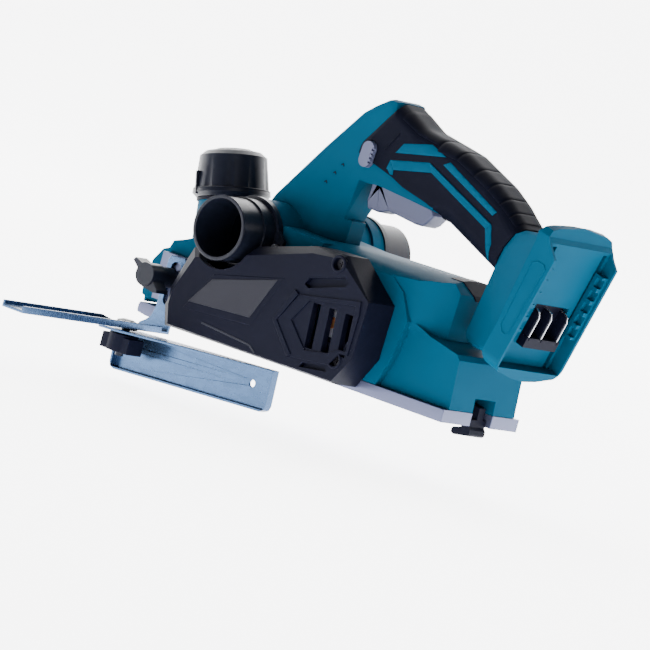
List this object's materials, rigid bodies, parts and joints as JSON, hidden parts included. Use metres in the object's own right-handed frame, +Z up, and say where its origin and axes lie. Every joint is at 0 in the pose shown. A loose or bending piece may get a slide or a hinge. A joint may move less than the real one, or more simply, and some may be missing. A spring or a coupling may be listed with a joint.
{
  "type": "electric hand planer",
  "caption": "Cordless hand planer: ribbed rubber grip over a belt-driven cutter drum, depth knob, side chip chute, battery foot and a clamp-on edge fence.",
  "frame": {"origin": "on the sole plane, at the middle of the rear base's bottom face", "axes": "+X forward along the sole, +Y to the tool's left (belt cover and fence side), +Z up"},
  "size_m": [0.3464, 0.31, 0.2368],
  "materials": {
    "alu": "fine machined",
    "alu_dark": "cast",
    "zinc": "bright zinc plated",
    "steel": "plain",
    "oxide": "black oxide",
    "teal": "fine moulded texture",
    "black": "moulded",
    "rubber": "overmoulded grip",
    "grey": "smooth moulded",
    "board": "coated circuit board",
    "coil": "laminated core and windings"
  },
  "bodies": {
    "tool": {"main_frame": "alu", "rear_base": "alu", "base_screws": "steel", "front_cover": "teal", "scale_ring": "black", "housing_left": "teal", "housing_right": "teal", "shell_screws": "steel", "grip_left": "rubber", "grip_right": "rubber", "rear_insert": "black", "belt_cover": "black", "cover_screws": "oxide", "drive_belt": "rubber", "drum_bearings": "steel", "stator": "coil", "motor_bearings": "steel", "chip_chute": "black", "chute_screw": "steel", "duct_cap": "black", "trigger_pin": "steel", "switch_body": "black", "terminal_block": "black", "terminals": "steel", "controller": "board", "foot_pin": "steel"},
    "shoe": {"front_shoe": "alu", "shoe_post": "alu"},
    "knob": {"depth_knob": "black", "knob_cap": "black", "knob_screw": "steel"},
    "drum": {"cutter_drum": "alu_dark", "blades": "steel", "blade_clamps": "alu_dark", "blade_bolts": "steel", "drum_pulley": "alu_dark"},
    "armature": {"rotor": "coil", "fan": "black", "motor_pulley": "alu_dark"},
    "trigger_lever": {"trigger": "grey"},
    "lock": {"lock_button": "grey"},
    "rest_foot": {"parking_foot": "black"},
    "arm": {"fence_arm": "zinc"},
    "fence": {"fence_plate": "zinc", "carriage_bolt": "black", "fence_washer": "rubber"},
    "clamp": {"clamp_knob": "black"},
    "wing": {"wing_bolt": "black", "wing_washer": "zinc"}
  },
  "joints": [
    {"name": "drum_spin", "type": "hinge", "parent": "tool", "child": "drum", "pos_m": [0.1, 0, 0.024], "axis": [0, 1, 0], "continuous": true},
    {"name": "motor_spin", "type": "hinge", "parent": "tool", "child": "armature", "pos_m": [0.005, 0, 0.042], "axis": [0, 1, 0], "continuous": true},
    {"name": "depth_turn", "type": "hinge", "parent": "tool", "child": "knob", "pos_m": [0.1511, 0, 0.01], "axis": [0.2672, 0, 0.9636], "range_deg": [-267, 0]},
    {"name": "shoe_lift", "type": "slide", "parent": "tool", "child": "shoe", "axis": [0.2672, 0, 0.9636], "range_m": [0, 0.002]},
    {"name": "trigger_pull", "type": "hinge", "parent": "tool", "child": "trigger_lever", "pos_m": [0.043, 0, 0.14], "axis": [0, 1, 0], "range_deg": [0, 6], "stiffness_Nm_per_rad": 0.5, "springref_deg": -14.32},
    {"name": "lock_push", "type": "slide", "parent": "tool", "child": "lock", "axis": [0, 1, 0], "range_m": [-0.004, 0.004], "stiffness_N_per_m": 400},
    {"name": "foot_fold", "type": "hinge", "parent": "tool", "child": "rest_foot", "pos_m": [-0.04, 0, 0.014], "axis": [0, 1, 0], "range_deg": [0, 16], "stiffness_Nm_per_rad": 0.05, "springref_deg": -17.19},
    {"name": "fence_height", "type": "slide", "parent": "tool", "child": "arm", "axis": [0, 0, 1], "range_m": [-0.005, 0.004]},
    {"name": "fence_reach", "type": "slide", "parent": "arm", "child": "fence", "axis": [0, 1, 0], "range_m": [-0.012, 0.105]},
    {"name": "clamp_turn", "type": "hinge", "parent": "fence", "child": "clamp", "pos_m": [0.171, 0.078, -0.02], "axis": [0, 0, 1], "range_deg": [-180, 180]},
    {"name": "wing_turn", "type": "hinge", "parent": "tool", "child": "wing", "pos_m": [0.1685, 0.06, 0.032], "axis": [0, 1, 0], "range_deg": [-180, 180]}
  ],
  "couplings": [
    {"joint": "motor_spin", "follows": "drum_spin", "ratio": 1.5},
    {"joint": "depth_turn", "follows": "shoe_lift", "rad_per_m": -2330}
  ]
}
